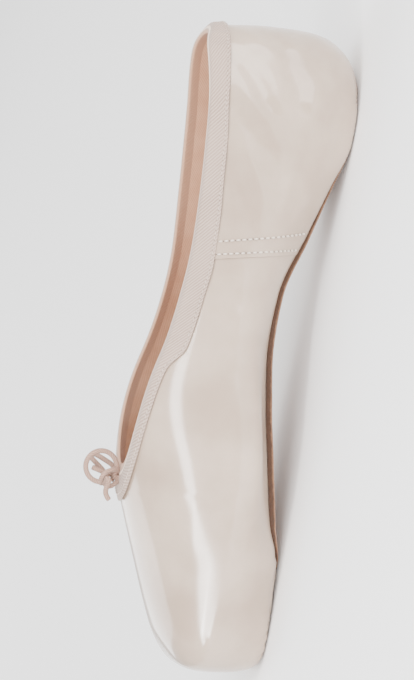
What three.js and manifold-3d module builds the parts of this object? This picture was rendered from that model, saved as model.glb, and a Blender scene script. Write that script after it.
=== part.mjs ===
// A pointe shoe: a satin upper lofted over a straight last, an arched leather outsole, an insole,
// a folded tape binding round the collar and the small bow of the drawstring at the throat.
//
// Millimetres, +X from heel to toe, +Y to the wearer's left, +Z up. The origin is on the floor under
// the middle of the shoe. Stations ("at") count from 0 at the heel's back to LENGTH at the platform.

import * as THREE from 'three';
import { LoftGeometry } from 'three/addons/geometries/LoftGeometry.js';
import { mergeVertices } from 'three/addons/utils/BufferGeometryUtils.js';
import Module from 'manifold-3d';

const wasm = await Module();
wasm.setup();

// ---------------------------------------------------------------- driving dimensions

const LENGTH = 237; // heel's back to the platform
const GAP = 0.3; // air between neighbouring pieces

const HEEL_CAP = 33; // station where the rounded heel starts
const HEEL_ROUND = 18; // reach of the heel's curve, in side view
const HEEL_PLAN = 2.2; // squareness of the heel, in plan

const TOE_CAP = 218; // station where the rounded platform starts
const TOE_PLAN = 3.8; // squareness of the platform, in plan
const TIP_BELOW = { reach: 9.5, squareness: 3 }; // curve from the platform down to the sole
const TIP_ABOVE = { reach: 14, squareness: 2 }; // curve from the platform up to the vamp

const TURNED_EDGE = 3.5; // upper's thickness under the foot, where its edge is pleated in
const LASTING_MARGIN = 5; // how far the turned edge runs in under the outsole

const SOLE_HEEL_END = 14; // station of the outsole's rounded back end
const SOLE_HEEL_ROUND = { from: 30, squareness: 2.2 };
const SOLE_TOE_END = 204; // station of the outsole's front end, behind the platform
const SOLE_TOE_ROUND = { from: 165, squareness: 1.9 };

const INSOLE_THICKNESS = 2;
const INSOLE_END = 226; // station of the insole's square front end

const TAPE_THICKNESS = 0.7; // binding tape
const TAPE_TURN = 4; // depth of the tape inside the collar

const CORD = 2; // drawstring diameter
const KNOT = { at: 173.3, height: 65.1, length: 4.6, width: 4.4, tall: 4.2 };

// Sections of the last over the upper: crown is the top of the closed section, half the half width at
// its widest line, and widest that line's height. flat is the half width of the level part under the
// foot, lift its height above the sole line, square the squareness of the corner between flat and
// widest line, and wall the side's thickness.
const SECTIONS = [
  { at: 0, crown: 82, half: 26.5, widest: 23.5, flat: 15.5, lift: 0.5, square: 2.5, wall: 1.6 },
  { at: 33, crown: 82, half: 26.5, widest: 24, flat: 15, lift: 0.5, square: 2.5, wall: 1.6 },
  { at: 60, crown: 77.3, half: 26, widest: 27.5, flat: 12, lift: 1, square: 2.4, wall: 1.6 },
  { at: 87, crown: 64.4, half: 26, widest: 31.5, flat: 9.5, lift: 1.6, square: 2.2, wall: 1.6 },
  { at: 114, crown: 64.5, half: 28.8, widest: 30.5, flat: 11.5, lift: 1.9, square: 2.2, wall: 1.6 },
  { at: 141, crown: 69.9, half: 34, widest: 25.5, flat: 15.5, lift: 1.9, square: 2.2, wall: 1.6 },
  { at: 155, crown: 67.9, half: 35.8, widest: 23.2, flat: 17.5, lift: 1.8, square: 2.2, wall: 1.7 },
  { at: 165, crown: 64.5, half: 35.9, widest: 22.2, flat: 17.5, lift: 1.7, square: 2.2, wall: 1.9 },
  { at: 176, crown: 60.5, half: 35.1, widest: 21.7, flat: 16.5, lift: 1.6, square: 2.2, wall: 2.2 },
  { at: 200, crown: 50.6, half: 31.4, widest: 21, flat: 14.5, lift: 0.7, square: 2.3, wall: 3 },
  { at: 218, crown: 42.7, half: 28, widest: 21.5, flat: 17, lift: 0.3, square: 2.4, wall: 3 },
  { at: 237, crown: 33, half: 24, widest: 22.5, flat: 16.5, lift: 0.3, square: 2.4, wall: 3 },
];

// Outsole: height of its underside, its half width before the rounded ends, and its thickness.
const SOLE = [
  { at: 0, underside: 0, half: 12.5, thickness: 1.9 },
  { at: 25, underside: 0, half: 12.5, thickness: 2 },
  { at: 38, underside: 0, half: 12.8, thickness: 2.1 },
  { at: 55, underside: 4.2, half: 13.6, thickness: 2.2 },
  { at: 75, underside: 9.3, half: 13.8, thickness: 2.3 },
  { at: 97, underside: 15.2, half: 14, thickness: 2.4 },
  { at: 115, underside: 16.1, half: 16.8, thickness: 2.4 },
  { at: 137, underside: 14, half: 21.5, thickness: 2.5 },
  { at: 158, underside: 10.3, half: 24.5, thickness: 2.6 },
  { at: 180, underside: 5.1, half: 24, thickness: 2.4 },
  { at: 196, underside: 0, half: 21.5, thickness: 1.8 },
  { at: 204, underside: 0, half: 20, thickness: 1.4 },
  { at: 237, underside: 0, half: 20, thickness: 1.4 },
];

// Collar in side view: the height of the binding's folded edge, and of its stitched edge outside.
const COLLAR = [
  { at: 0, edge: 55.9, stitched: 51.8 },
  { at: 4, edge: 57, stitched: 51.7 },
  { at: 9, edge: 58.7, stitched: 51.4 },
  { at: 16, edge: 58.6, stitched: 51 },
  { at: 31, edge: 56.4, stitched: 49.7 },
  { at: 45, edge: 55.1, stitched: 47.8 },
  { at: 59, edge: 54.1, stitched: 46.7 },
  { at: 73, edge: 53.3, stitched: 45.5 },
  { at: 90, edge: 52.9, stitched: 45 },
  { at: 102, edge: 53.7, stitched: 46.3 },
  { at: 114, edge: 55.2, stitched: 48 },
  { at: 122, edge: 56.7, stitched: 49.7 },
  { at: 130, edge: 58.6, stitched: 55 },
  { at: 141, edge: 60.5, stitched: 57.4 },
  { at: 155, edge: 61.5, stitched: 58.9 },
  { at: 168, edge: 61.4, stitched: 59.4 },
  { at: 184, edge: 61.3, stitched: 59.6 },
];

// Routes of the drawstring, from the knot outward. "round" is the open loop, "narrow" the one behind
// it, and the two ends are the long one over the vamp and the short one inside the loops.
const ROUND_LOOP = { at: 169.4, height: 68.5, radius: 5.7, side: 0.9, opening: 52 };
const NARROW_LOOP = [
  { at: 171.2, side: -1.6, height: 62.9 },
  { at: 168.6, side: -3.2, height: 63.6 },
  { at: 166.8, side: -5.1, height: 67 },
  { at: 165.6, side: -6.1, height: 70.4 },
  { at: 166.7, side: -5.9, height: 71.6 },
  { at: 168.3, side: -4.6, height: 70 },
  { at: 170.1, side: -2.6, height: 67.8 },
];
const LONG_END = [
  { at: 176.2, side: 1.2, height: 65.2 },
  { at: 178.2, side: 1.8, height: 65.6 },
  { at: 180, side: 2.1, height: 65.1 },
  { at: 181, side: 2.3, height: 63.9 },
  { at: 181.4, side: 2.4, height: 62.7 },
];
const SHORT_END = [
  { at: 171.3, side: -0.7, height: 67.4 },
  { at: 170.8, side: -0.9, height: 69.2 },
  { at: 170.3, side: -1.1, height: 71.4 },
];

// Facets
const RING_SIDE = 15; // steps from the flat to the crown on one side
const HEEL_RINGS = 7;
const BODY_RINGS = 22;
const TOE_RINGS = 7;
const PLATE_RINGS = 36;
const CORD_SIDES = 8;

const SATIN = new THREE.MeshStandardMaterial({ color: 0xe4d6cc, roughness: 0.35, metalness: 0 });
const LEATHER = new THREE.MeshStandardMaterial({ color: 0xa5785a, roughness: 0.85, metalness: 0 });
const SOCK = new THREE.MeshStandardMaterial({ color: 0xcfae96, roughness: 0.9, metalness: 0 });
const TAPE = new THREE.MeshStandardMaterial({ color: 0xd2c4bb, roughness: 0.75, metalness: 0 });
const STRING = new THREE.MeshStandardMaterial({ color: 0xcdb0a2, roughness: 0.8, metalness: 0 });

// ---------------------------------------------------------------- curves through the tables

const mix = (a, b, t) => a + (b - a) * t;

// Slopes of a natural cubic spline through the rows, relaxed row by row.
function smoothSlopes(widths, rises) {
  const slopes = [...rises, rises.at(-1)];
  for (let pass = 0; pass < 60; pass++) {
    slopes[0] = (3 * rises[0] - slopes[1]) / 2;
    for (let i = 1; i < rises.length; i++) {
      const before = 1 / widths[i - 1];
      const after = 1 / widths[i];
      const pull = 3 * (rises[i - 1] * before + rises[i] * after);
      slopes[i] = (pull - slopes[i - 1] * before - slopes[i + 1] * after) / (2 * (before + after));
    }
    slopes[rises.length] = (3 * rises.at(-1) - slopes[rises.length - 1]) / 2;
  }
  return slopes;
}

// Slopes that keep the curve between its rows, so a flat stretch stays flat.
function steadySlopes(widths, rises) {
  const slopes = [rises[0]];
  for (let i = 1; i < rises.length; i++) {
    if (rises[i - 1] * rises[i] <= 0) {
      slopes.push(0);
    } else {
      const before = 2 * widths[i] + widths[i - 1];
      const after = widths[i] + 2 * widths[i - 1];
      slopes.push((before + after) / (before / rises[i - 1] + after / rises[i]));
    }
  }
  slopes.push(rises.at(-1));
  return slopes;
}

// A table's column as a function of the station.
function columnCurve(rows, column, slopesOf = smoothSlopes) {
  const widths = rows.slice(1).map((row, i) => row.at - rows[i].at);
  const rises = rows.slice(1).map((row, i) => (row[column] - rows[i][column]) / widths[i]);
  const slopes = slopesOf(widths, rises);
  return (at) => {
    const place = THREE.MathUtils.clamp(at, rows[0].at, rows.at(-1).at);
    const i = Math.min(rows.findLastIndex((row) => row.at <= place), widths.length - 1);
    const t = (place - rows[i].at) / widths[i];
    const start = rows[i][column] * (1 + 2 * t) * (1 - t) ** 2 + rows[i + 1][column] * t * t * (3 - 2 * t);
    return start + widths[i] * (slopes[i] * t * (1 - t) ** 2 - slopes[i + 1] * t * t * (1 - t));
  };
}

const form = {
  crown: columnCurve(SECTIONS, 'crown'),
  half: columnCurve(SECTIONS, 'half'),
  widest: columnCurve(SECTIONS, 'widest'),
  flat: columnCurve(SECTIONS, 'flat', steadySlopes),
  lift: columnCurve(SECTIONS, 'lift', steadySlopes),
  square: columnCurve(SECTIONS, 'square', steadySlopes),
  wall: columnCurve(SECTIONS, 'wall', steadySlopes),
};
const sole = {
  underside: columnCurve(SOLE, 'underside', steadySlopes),
  half: columnCurve(SOLE, 'half', steadySlopes),
  thickness: columnCurve(SOLE, 'thickness', steadySlopes),
};
const collar = {
  edge: columnCurve(COLLAR, 'edge'),
  stitched: columnCurve(COLLAR, 'stitched', steadySlopes),
};

// ---------------------------------------------------------------- solids from rings of points

// A closed mesh as a solid: welded, and without the triangles that a pointed end flattens.
function solidOf(geometry) {
  const bare = new THREE.BufferGeometry().copy(geometry);
  bare.deleteAttribute('normal');
  bare.deleteAttribute('uv');
  const welded = mergeVertices(bare, 1e-4);
  const corners = welded.index.array;
  const triangles = [];
  for (let i = 0; i < corners.length; i += 3) {
    const [a, b, c] = corners.slice(i, i + 3);
    if (a !== b && b !== c && c !== a) {
      triangles.push(a, b, c);
    }
  }
  return new wasm.Manifold(new wasm.Mesh({
    numProp: 3,
    vertProperties: welded.attributes.position.array,
    triVerts: new Uint32Array(triangles),
  }));
}

function geometryOf(solid) {
  const { vertProperties, triVerts } = solid.getMesh();
  const geometry = new THREE.BufferGeometry();
  geometry.setAttribute('position', new THREE.BufferAttribute(vertProperties, 3));
  geometry.setIndex(new THREE.BufferAttribute(triVerts, 1));
  return geometry;
}

// ---------------------------------------------------------------- the last's form

// Where the centre line's side view meets a section angle: 0 at the sole, PI at the crown.
function heelBack(angle) {
  return HEEL_ROUND * (1 - Math.sin(angle));
}

function toeTip(angle) {
  const up = (1 - Math.cos(angle)) / 2;
  const reach = mix(TIP_BELOW.reach, TIP_ABOVE.reach, up);
  const squareness = mix(TIP_BELOW.squareness, TIP_ABOVE.squareness, up);
  return LENGTH - reach * (1 - Math.sin(angle) ** (2 / squareness));
}

// A point of one section, from the flat's edge round the side to the crown. inset.side moves the sides
// and crown in, and inset.below the bottom up.
function sectionPoint(at, angle, inset) {
  const down = Math.cos(angle);
  const lower = Math.max(down, 0) ** 2;
  const squareness = 2 + (form.square(at) - 2) * lower;
  const flat = (form.flat(at) - inset.side) * lower;
  const bottom = sole.underside(at) + form.lift(at) + inset.below;
  const crown = form.crown(at) - inset.side;
  const upward = down > 0 ? (1 - down) ** 3 / 2 : (1 - down) / 2;
  const depth = mix(form.widest(at) - bottom, crown - form.widest(at), upward);
  return {
    y: flat + (form.half(at) - inset.side - flat) * Math.sin(angle) ** (2 / squareness),
    z: form.widest(at) - Math.sign(down) * depth * Math.abs(down) ** (2 / squareness),
  };
}

// A point of the whole form. step runs -1..0 round the heel, 0..1 along the body and 1..2 round the toe.
function formPoint(step, angle, insetAt) {
  let at = mix(HEEL_CAP, TOE_CAP, THREE.MathUtils.clamp(step, 0, 1));
  let taper = 1;
  if (step < 0) {
    const turn = Math.sin(-step * Math.PI / 2);
    at -= (HEEL_CAP - heelBack(angle) - insetAt(0).side) * turn;
    taper = (1 - turn ** HEEL_PLAN) ** (1 / HEEL_PLAN);
  } else if (step > 1) {
    const turn = Math.sin((step - 1) * Math.PI / 2);
    at += (toeTip(angle) - insetAt(LENGTH).side - TOE_CAP) * turn;
    taper = (1 - turn ** TOE_PLAN) ** (1 / TOE_PLAN);
  }
  const { y, z } = sectionPoint(at, angle, insetAt(at));
  return new THREE.Vector3(at, y * taper, z);
}

function formSolid(insetAt) {
  const steps = [];
  for (let i = 0; i < HEEL_RINGS; i++) {
    steps.push(i / HEEL_RINGS - 1);
  }
  for (let i = 0; i < BODY_RINGS; i++) {
    steps.push(i / BODY_RINGS);
  }
  for (let i = 0; i <= TOE_RINGS; i++) {
    steps.push(1 + i / TOE_RINGS);
  }
  const rings = steps.map((step) => {
    const left = [];
    for (let i = 0; i < RING_SIDE; i++) {
      left.push(formPoint(step, Math.PI * i / RING_SIDE, insetAt));
    }
    const bottom = left[0].clone().setY(0);
    const crown = formPoint(step, Math.PI, insetAt).setY(0);
    const right = left.map((point) => new THREE.Vector3(point.x, -point.y, point.z)).reverse();
    return [bottom, ...left, crown, ...right];
  });
  return solidOf(new LoftGeometry(rings));
}

// The form grown outward by a distance, and the inside of the wall moved in by a further distance.
const outside = (grown) => formSolid(() => ({ side: -grown, below: -grown }));
const inside = (further) => formSolid((at) => ({
  side: form.wall(at) + further,
  below: TURNED_EDGE + further,
}));

// ---------------------------------------------------------------- plates and cutters

function roundedEnd(reach, squareness) {
  const t = THREE.MathUtils.clamp(reach, 0, 1);
  return (1 - t ** squareness) ** (1 / squareness);
}

// Half width of the outsole's outline, moved in by a distance.
function outlineHalf(at, inset) {
  const back = SOLE_HEEL_END + inset;
  const front = SOLE_TOE_END - inset;
  const heel = (SOLE_HEEL_ROUND.from - at) / (SOLE_HEEL_ROUND.from - back);
  const toe = (at - SOLE_TOE_ROUND.from) / (front - SOLE_TOE_ROUND.from);
  return (sole.half(at) - inset)
    * roundedEnd(heel, SOLE_HEEL_ROUND.squareness)
    * roundedEnd(toe, SOLE_TOE_ROUND.squareness);
}

// A plate between two heights, with its rings closer together near both ends.
function plate({ from, to, half, low, high }) {
  const rings = [];
  for (let i = 0; i <= PLATE_RINGS; i++) {
    const at = mix(from, to, (1 - Math.cos(Math.PI * i / PLATE_RINGS)) / 2);
    const y = i === 0 || i === PLATE_RINGS ? half(at) * (half(at) > 1) : half(at);
    rings.push([
      new THREE.Vector3(at, -y, low(at)),
      new THREE.Vector3(at, y, low(at)),
      new THREE.Vector3(at, y, high(at)),
      new THREE.Vector3(at, -y, high(at)),
    ]);
  }
  return solidOf(new LoftGeometry(rings, { capStart: half(from) > 1, capEnd: half(to) > 1 }));
}

// A plate with the outsole's outline, moved in by a distance.
function outlinePlate(inset, low, high) {
  return plate({
    from: SOLE_HEEL_END + inset,
    to: SOLE_TOE_END - inset,
    half: (at) => outlineHalf(at, inset),
    low,
    high,
  });
}

// Everything above a line of the side view.
function above(line) {
  const margin = 20;
  const halfDepth = 60;
  const top = 120;
  const steps = 64;
  const shape = new THREE.Shape();
  shape.moveTo(-margin, top);
  for (let i = 0; i <= steps; i++) {
    const at = mix(-margin, LENGTH + margin, i / steps);
    shape.lineTo(at, line(at));
  }
  shape.lineTo(LENGTH + margin, top);
  const geometry = new THREE.ExtrudeGeometry(shape, { depth: 2 * halfDepth, bevelEnabled: false });
  geometry.rotateX(Math.PI / 2);
  geometry.translate(0, halfDepth, 0);
  return solidOf(geometry);
}

// ---------------------------------------------------------------- the shoe's pieces

const soleTop = (at) => sole.underside(at) + sole.thickness(at);
const footbed = (at) => sole.underside(at) + form.lift(at) + TURNED_EDGE;

function makeOutsole() {
  return outlinePlate(0, sole.underside, soleTop);
}

function makeUpper() {
  const depth = 10;
  const bed = outlinePlate(-GAP, (at) => sole.underside(at) - depth, (at) => soleTop(at) + GAP);
  const opening = outlinePlate(
    LASTING_MARGIN,
    (at) => sole.underside(at) - depth,
    (at) => footbed(at) + INSOLE_THICKNESS,
  );
  return outside(0)
    .subtract(inside(0))
    .subtract(bed)
    .subtract(opening)
    .subtract(above((at) => collar.edge(at) - TAPE_THICKNESS - GAP));
}

function makeInsole() {
  const top = (at) => footbed(at) + GAP + INSOLE_THICKNESS;
  const board = plate({
    from: -LENGTH,
    to: INSOLE_END,
    half: () => LENGTH,
    low: () => -LENGTH,
    high: top,
  });
  const core = outlinePlate(LASTING_MARGIN + GAP, (at) => soleTop(at) + 2 * GAP, (at) => footbed(at) + GAP + 1);
  return inside(GAP).intersect(board).add(core);
}

function makeBinding() {
  const fold = above((at) => collar.edge(at) - TAPE_THICKNESS);
  const clearance = outside(GAP).subtract(inside(GAP)).subtract(fold);
  const tape = outside(GAP + TAPE_THICKNESS)
    .subtract(inside(GAP + TAPE_THICKNESS))
    .subtract(clearance)
    .subtract(above(collar.edge));
  const middle = formSolid((at) => ({ side: form.wall(at) / 2, below: TURNED_EDGE / 2 }));
  const outer = tape.subtract(middle).intersect(above(collar.stitched));
  const inner = tape.intersect(middle).intersect(above((at) => collar.edge(at) - TAPE_TURN));
  return outer.add(inner);
}

// ---------------------------------------------------------------- the drawstring's bow

const routeOf = (rows) => rows.map(({ at, side, height }) => new THREE.Vector3(at, side, height));

// The open loop is a circle in side view. It leaves out the arc that lies inside the knot.
function roundLoopRoute() {
  const { at, height, radius, side, opening } = ROUND_LOOP;
  const towardKnot = Math.atan2(KNOT.height - height, KNOT.at - at);
  const half = THREE.MathUtils.degToRad(opening / 2);
  const route = [];
  const steps = 16;
  for (let i = 0; i <= steps; i++) {
    const turn = towardKnot + mix(half, 2 * Math.PI - half, i / steps);
    route.push(new THREE.Vector3(at + radius * Math.cos(turn), side, height + radius * Math.sin(turn)));
  }
  return route;
}

function makeCord(route) {
  const path = new THREE.CatmullRomCurve3(route);
  const section = new THREE.Shape();
  section.absarc(0, 0, CORD / 2, 0, 2 * Math.PI);
  return new THREE.ExtrudeGeometry(section, {
    curveSegments: CORD_SIDES / 2,
    steps: Math.ceil(path.getLength() / CORD),
    extrudePath: path,
    bevelEnabled: false,
  });
}

function makeKnot() {
  const knot = new THREE.SphereGeometry(0.5, 12, 8);
  knot.scale(KNOT.length, KNOT.width, KNOT.tall);
  knot.translate(KNOT.at, 0, KNOT.height);
  return knot;
}

// ---------------------------------------------------------------- assembly

function named(name, geometry, material) {
  const mesh = new THREE.Mesh(geometry, material);
  mesh.name = name;
  return mesh;
}

const shoe = new THREE.Group();
shoe.add(
  named('upper', geometryOf(makeUpper()), SATIN),
  named('outsole', geometryOf(makeOutsole()), LEATHER),
  named('insole', geometryOf(makeInsole()), SOCK),
  named('binding', geometryOf(makeBinding()), TAPE),
  named('drawstring_knot', makeKnot(), STRING),
  named('drawstring_round_loop', makeCord(roundLoopRoute()), STRING),
  named('drawstring_narrow_loop', makeCord(routeOf(NARROW_LOOP)), STRING),
  named('drawstring_long_end', makeCord(routeOf(LONG_END)), STRING),
  named('drawstring_short_end', makeCord(routeOf(SHORT_END)), STRING),
);
shoe.position.x = -LENGTH / 2;

export default shoe;
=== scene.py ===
"""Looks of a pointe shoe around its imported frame: satin, tape, lining, leather, stitches and cord.

Sizes are millimetres in the shoe's own stations: "at" runs from 0 at the heel's back to LENGTH at the
platform, y is the wearer's left and z is up. to_metres() carries them into the frame's axes.
"""

import logging
import math
from dataclasses import dataclass
from enum import Enum
from typing import Callable, Sequence

import bmesh
import bpy
import numpy as np
from mathutils import Matrix, Vector

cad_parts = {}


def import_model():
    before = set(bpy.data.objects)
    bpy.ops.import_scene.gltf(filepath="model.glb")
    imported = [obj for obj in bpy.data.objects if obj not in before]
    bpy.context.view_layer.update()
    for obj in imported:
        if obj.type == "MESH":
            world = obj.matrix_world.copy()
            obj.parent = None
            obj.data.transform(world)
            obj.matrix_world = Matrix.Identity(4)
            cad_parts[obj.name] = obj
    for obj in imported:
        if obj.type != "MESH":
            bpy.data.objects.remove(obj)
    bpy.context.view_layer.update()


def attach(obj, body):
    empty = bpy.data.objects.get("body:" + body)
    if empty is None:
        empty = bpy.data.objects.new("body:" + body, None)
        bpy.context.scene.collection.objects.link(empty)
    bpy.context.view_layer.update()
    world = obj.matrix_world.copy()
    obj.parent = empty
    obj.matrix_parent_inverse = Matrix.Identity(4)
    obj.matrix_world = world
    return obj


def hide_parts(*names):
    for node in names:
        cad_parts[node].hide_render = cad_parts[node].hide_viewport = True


LOG = logging.getLogger("pointe_shoe")

# The form's sizes, as the frame's own parts have them.
LENGTH = 237.0
GAP = 0.3
HEEL_CAP = 33.0
HEEL_ROUND = 18.0
HEEL_PLAN = 2.2
TOE_CAP = 218.0
TOE_PLAN = 3.8
TIP_BELOW = (9.5, 3.0)
TIP_ABOVE = (14.0, 2.0)
TURNED_EDGE = 3.5
INSOLE_THICKNESS = 2.0
INSOLE_END = 226.0
SOLE_HEEL_END = 14.0
SOLE_HEEL_ROUND = 30.0
SOLE_HEEL_SQUARE = 2.2
SOLE_TOE_ROUND = 165.0
SOLE_TOE_END = 204.0
SOLE_TOE_SQUARE = 1.9

# Turns a left side's points into a right side's.
MIRROR = np.array([1, -1, 1])

Line = Callable[[np.ndarray], np.ndarray]
Number = float | np.ndarray


@dataclass(frozen=True)
class Table:
    """Measurements at stations along the shoe, a row for each station and a name for each column."""

    columns: tuple
    rows: tuple

    def column(self, name: str) -> np.ndarray:
        """One column from the first row to the last."""
        return np.array(self.rows, float)[:, self.columns.index(name)]


SECTIONS = Table(("at", "crown", "half", "widest", "flat", "lift", "square", "wall"), (
    (0, 82, 26.5, 23.5, 15.5, 0.5, 2.5, 1.6),
    (33, 82, 26.5, 24, 15, 0.5, 2.5, 1.6),
    (60, 77.3, 26, 27.5, 12, 1, 2.4, 1.6),
    (87, 64.4, 26, 31.5, 9.5, 1.6, 2.2, 1.6),
    (114, 64.5, 28.8, 30.5, 11.5, 1.9, 2.2, 1.6),
    (141, 69.9, 34, 25.5, 15.5, 1.9, 2.2, 1.6),
    (155, 67.9, 35.8, 23.2, 17.5, 1.8, 2.2, 1.7),
    (165, 64.5, 35.9, 22.2, 17.5, 1.7, 2.2, 1.9),
    (176, 60.5, 35.1, 21.7, 16.5, 1.6, 2.2, 2.2),
    (200, 50.6, 31.4, 21, 14.5, 0.7, 2.3, 3),
    (218, 42.7, 28, 21.5, 17, 0.3, 2.4, 3),
    (237, 33, 24, 22.5, 16.5, 0.3, 2.4, 3),
))

SOLE = Table(("at", "underside", "half", "thickness"), (
    (0, 0, 12.5, 1.9),
    (25, 0, 12.5, 2),
    (38, 0, 12.8, 2.1),
    (55, 4.2, 13.6, 2.2),
    (75, 9.3, 13.8, 2.3),
    (97, 15.2, 14, 2.4),
    (115, 16.1, 16.8, 2.4),
    (137, 14, 21.5, 2.5),
    (158, 10.3, 24.5, 2.6),
    (180, 5.1, 24, 2.4),
    (196, 0, 21.5, 1.8),
    (204, 0, 20, 1.4),
    (237, 0, 20, 1.4),
))

COLLAR = Table(("at", "edge", "stitched"), (
    (0, 55.9, 51.8),
    (4, 57, 51.7),
    (9, 58.7, 51.4),
    (16, 58.6, 51),
    (31, 56.4, 49.7),
    (45, 55.1, 47.8),
    (59, 54.1, 46.7),
    (73, 53.3, 45.5),
    (90, 52.9, 45),
    (102, 53.7, 46.3),
    (114, 55.2, 48),
    (122, 56.7, 49.7),
    (130, 58.6, 55),
    (141, 60.5, 57.4),
    (155, 61.5, 58.9),
    (168, 61.4, 59.4),
    (184, 61.3, 59.6),
))


# ---------------------------------------------------------------- the shoe's form


def mix(start: Number, end: Number, t: Number) -> Number:
    """Value a share t of the way from start to end."""
    return start + (end - start) * t


def ease(t: np.ndarray) -> np.ndarray:
    """Smooth step from 0 to 1 as t runs from 0 to 1."""
    t = np.clip(t, 0.0, 1.0)
    return t * t * (3 - 2 * t)


def to_metres(points: np.ndarray) -> np.ndarray:
    """Points in the shoe's own millimetres, in the frame's metres."""
    return (np.asarray(points, float) - np.array([LENGTH / 2, 0, 0])) / 1000


@dataclass(frozen=True)
class Curve:
    """One column of a table as a function of the station."""

    stations: np.ndarray
    values: np.ndarray
    slopes: np.ndarray

    def __call__(self, at: np.ndarray) -> np.ndarray:
        """The column's value at these stations."""
        at = np.clip(at, self.stations[0], self.stations[-1])
        row = np.clip(np.searchsorted(self.stations, at, side="right") - 1, 0, len(self.stations) - 2)
        width = self.stations[row + 1] - self.stations[row]
        t = (at - self.stations[row]) / width
        start = self.values[row] * (1 + 2 * t) * (1 - t) ** 2
        end = self.values[row + 1] * t * t * (3 - 2 * t)
        lean = self.slopes[row] * t * (1 - t) ** 2 - self.slopes[row + 1] * t * t * (1 - t)
        return start + end + width * lean

    @classmethod
    def smooth(cls, table: Table, name: str) -> "Curve":
        """Natural cubic spline through a column.

        Args:
            table: The measurements.
            name: Which column to follow.

        Returns:
            The curve.
        """
        stations, values = table.column("at"), table.column(name)
        widths = np.diff(stations)
        rises = np.diff(values) / widths
        count = len(stations)
        system = np.zeros((count, count))
        target = np.zeros(count)
        system[0, :2] = (2, 1)
        system[-1, -2:] = (1, 2)
        target[0], target[-1] = 3 * rises[0], 3 * rises[-1]
        for i in range(1, count - 1):
            before, after = 1 / widths[i - 1], 1 / widths[i]
            system[i, i - 1:i + 2] = (before, 2 * (before + after), after)
            target[i] = 3 * (rises[i - 1] * before + rises[i] * after)
        return cls(stations, values, np.linalg.solve(system, target))

    @classmethod
    def steady(cls, table: Table, name: str) -> "Curve":
        """Curve that stays between its rows, so a flat stretch stays flat.

        Args:
            table: The measurements.
            name: Which column to follow.

        Returns:
            The curve.
        """
        stations, values = table.column("at"), table.column(name)
        widths = np.diff(stations)
        rises = np.diff(values) / widths
        slopes = [rises[0]]
        for i in range(1, len(rises)):
            if rises[i - 1] * rises[i] <= 0:
                slopes.append(0.0)
            else:
                before = 2 * widths[i] + widths[i - 1]
                after = widths[i] + 2 * widths[i - 1]
                slopes.append((before + after) / (before / rises[i - 1] + after / rises[i]))
        slopes.append(rises[-1])
        return cls(stations, values, np.array(slopes))


CROWN, HALF, WIDEST = (Curve.smooth(SECTIONS, name) for name in ("crown", "half", "widest"))
FLAT, LIFT, SQUARE, WALL = (Curve.steady(SECTIONS, name) for name in ("flat", "lift", "square", "wall"))
UNDERSIDE, SOLE_HALF, SOLE_THICKNESS = (
    Curve.steady(SOLE, name) for name in ("underside", "half", "thickness")
)
EDGE = Curve.smooth(COLLAR, "edge")
STITCHED = Curve.steady(COLLAR, "stitched")


def station_of(step: np.ndarray) -> np.ndarray:
    """Station of a step along the body, held at the two caps."""
    return mix(HEEL_CAP, TOE_CAP, np.clip(step, 0, 1))


def step_of(at: Number) -> Number:
    """Step along the body of a station between the two caps."""
    return (at - HEEL_CAP) / (TOE_CAP - HEEL_CAP)


def wall_of(step: np.ndarray) -> np.ndarray:
    """Thickness of the upper's side at a step."""
    return WALL(station_of(step))


def form_point(step: Number, angle: Number, side: Number = 0.0, below: Number = 0.0) -> np.ndarray:
    """Points of the shoe's form.

    Args:
        step: -1..0 round the heel, 0..1 along the body and 1..2 round the toe.
        angle: 0 at the flat's edge under the foot, PI at the crown.
        side: How far the sides and the crown lie inside the form.
        below: How far the bottom lies inside the form.

    Returns:
        Array of (at, y, z), with y to the left.
    """
    given = (np.asarray(value, float) for value in (step, angle, side, below))
    step, angle, side, below = np.broadcast_arrays(*given)
    heel = np.sin(np.clip(-step, 0, 1) * math.pi / 2)
    toe = np.sin(np.clip(step - 1, 0, 1) * math.pi / 2)
    sine, down = np.abs(np.sin(angle)), np.cos(angle)
    up = (1 - down) / 2
    reach = mix(TIP_BELOW[0], TIP_ABOVE[0], up)
    tip = LENGTH - reach * (1 - sine ** (2 / mix(TIP_BELOW[1], TIP_ABOVE[1], up)))
    back = HEEL_ROUND * (1 - sine)
    at = station_of(step) - (HEEL_CAP - back - side) * heel + (tip - side - TOE_CAP) * toe
    taper = (1 - heel ** HEEL_PLAN) ** (1 / HEEL_PLAN) * (1 - toe ** TOE_PLAN) ** (1 / TOE_PLAN)
    lower = np.maximum(down, 0) ** 2
    squareness = 2 + (SQUARE(at) - 2) * lower
    flat = (FLAT(at) - side) * lower
    bottom = UNDERSIDE(at) + LIFT(at) + below
    upward = np.where(down > 0, (1 - down) ** 3 / 2, (1 - down) / 2)
    depth = mix(WIDEST(at) - bottom, CROWN(at) - side - WIDEST(at), upward)
    y = flat + (HALF(at) - side - flat) * sine ** (2 / squareness)
    z = WIDEST(at) - np.sign(down) * depth * np.abs(down) ** (2 / squareness)
    return np.stack([at, y * taper, z], axis=-1)


def angle_on(step: np.ndarray, line: Line, side: Number = 0.0, below: Number = 0.0) -> np.ndarray:
    """Angle where each ring crosses a line of the side view, and PI where it stays below it.

    Args:
        step: Steps of the rings.
        line: Height as a function of the station.
        side: Inset of the sides.
        below: Inset of the bottom.

    Returns:
        The angles.
    """
    low = np.zeros_like(step)
    high = np.full_like(step, math.pi)
    for _ in range(40):
        middle = (low + high) / 2
        point = form_point(step, middle, side, below)
        under = point[..., 2] < line(point[..., 0])
        low = np.where(under, middle, low)
        high = np.where(under, high, middle)
    return high


def throat_step(line: Line, side: float) -> float:
    """Step where the crown comes down to a line of the side view."""
    low, high = 0.5, 1.0
    for _ in range(40):
        middle = (low + high) / 2
        at = station_of(np.array(middle))
        if CROWN(at) - side > line(at):
            low = middle
        else:
            high = middle
    return high


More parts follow.
